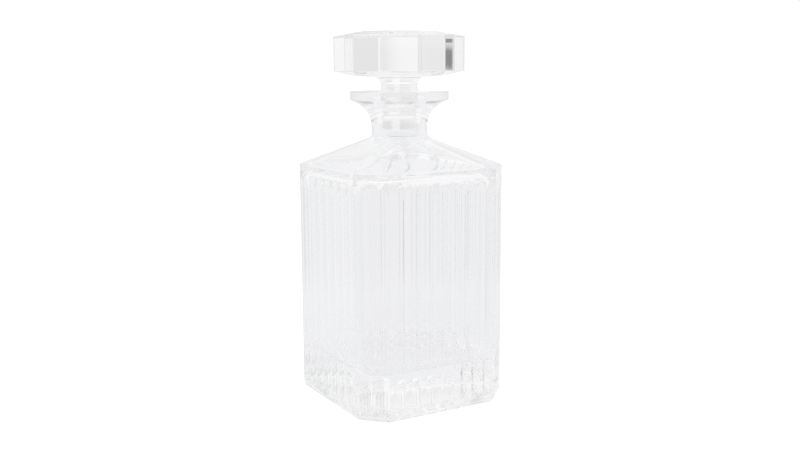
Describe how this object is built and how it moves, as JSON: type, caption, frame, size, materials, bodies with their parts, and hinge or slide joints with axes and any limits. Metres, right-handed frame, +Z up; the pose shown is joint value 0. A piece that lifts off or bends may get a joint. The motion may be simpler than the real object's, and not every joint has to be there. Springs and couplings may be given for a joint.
{
  "type": "decanter",
  "caption": "Square cut-crystal decanter with fluted sides, a thick base, a flared lip and a faceted ground stopper that lifts out.",
  "frame": {"origin": "centre of the base, on the surface the decanter stands on", "axes": "+Z up along the neck and stopper, -Y out of the front face, +X out of the right-hand face"},
  "size_m": [0.095, 0.095, 0.2102],
  "materials": {
    "bottle_crystal": "clear polished lead-free crystal, flutes and facets cut and fire-polished",
    "stopper_crystal": "clear polished crystal head, finely ground plug"
  },
  "bodies": {
    "decanter": {"bottle": "bottle_crystal"},
    "stopper": {"stopper": "stopper_crystal"}
  },
  "joints": [
    {"name": "stopper_lift", "type": "slide", "parent": "decanter", "child": "stopper", "axis": [0, 0, 1], "range_m": [0, 0.04]}
  ]
}
